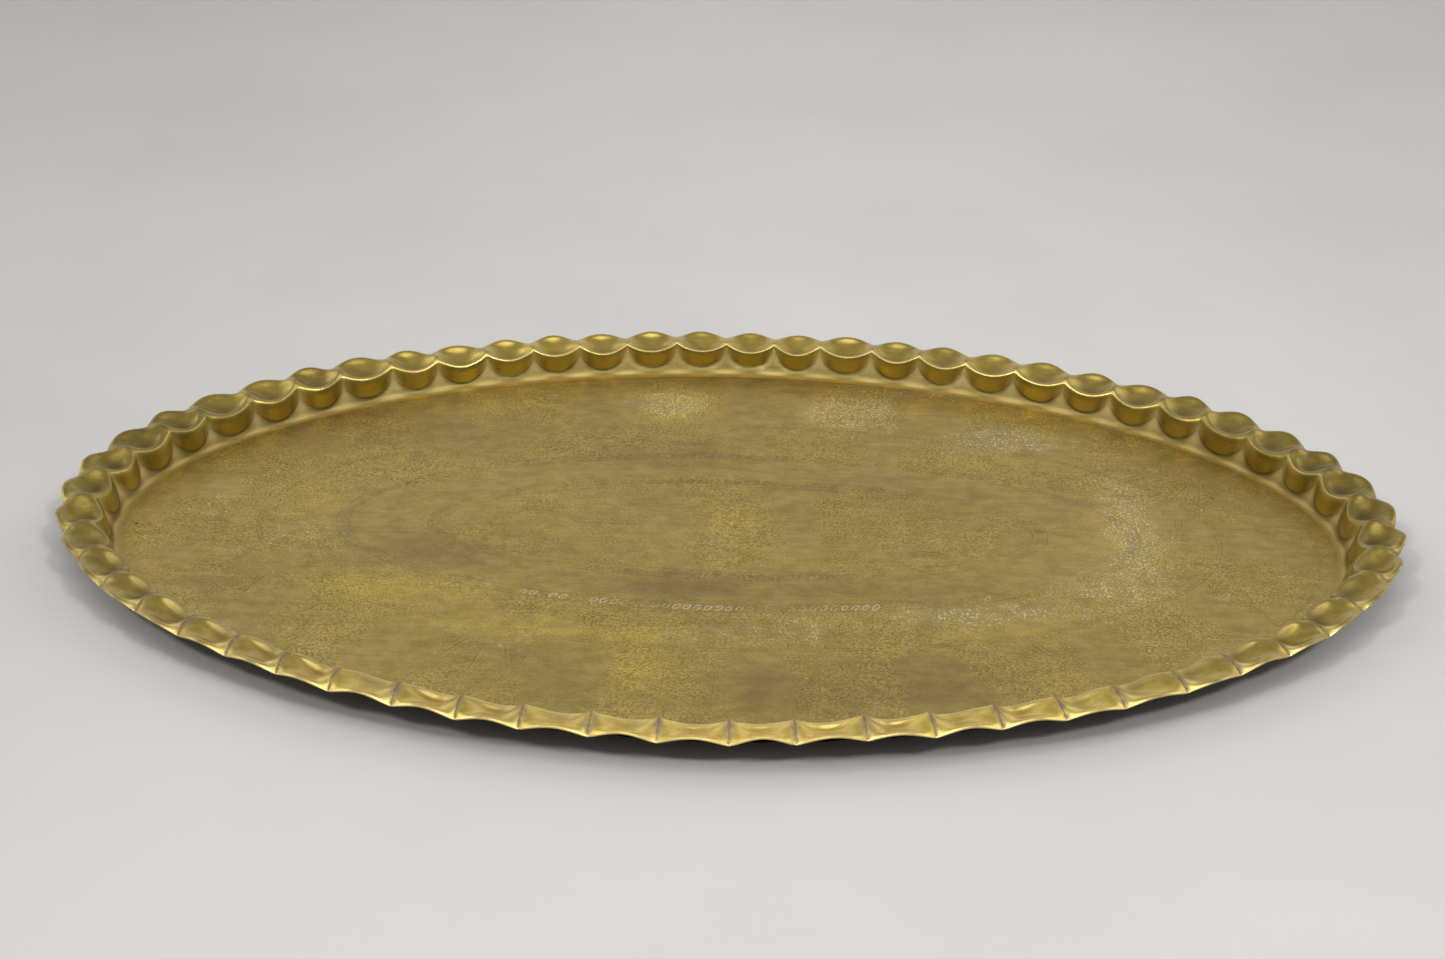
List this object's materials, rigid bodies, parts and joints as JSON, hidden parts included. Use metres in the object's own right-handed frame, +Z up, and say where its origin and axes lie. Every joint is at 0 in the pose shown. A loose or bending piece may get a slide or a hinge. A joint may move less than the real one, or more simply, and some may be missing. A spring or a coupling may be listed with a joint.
{
  "type": "serving tray",
  "caption": "Large oval brass serving tray, one engraved sheet with a flat well, a scalloped wall and a pie-crust flange whose cut edge dips between the scallops",
  "frame": {"origin": "centre of the bounding box in X and Y, at the flat underside of the well, which stands on the table at z = 0", "axes": "+X along the tray, +Y across it, +Z up out of the well"},
  "size_m": [0.9512, 0.5778, 0.0288],
  "materials": {
    "brass_sheet": "old hand polish over olive-brown tarnish, brushed lengthwise in the well"
  },
  "bodies": {
    "root": {"tray_sheet": "brass_sheet"}
  },
  "joints": []
}
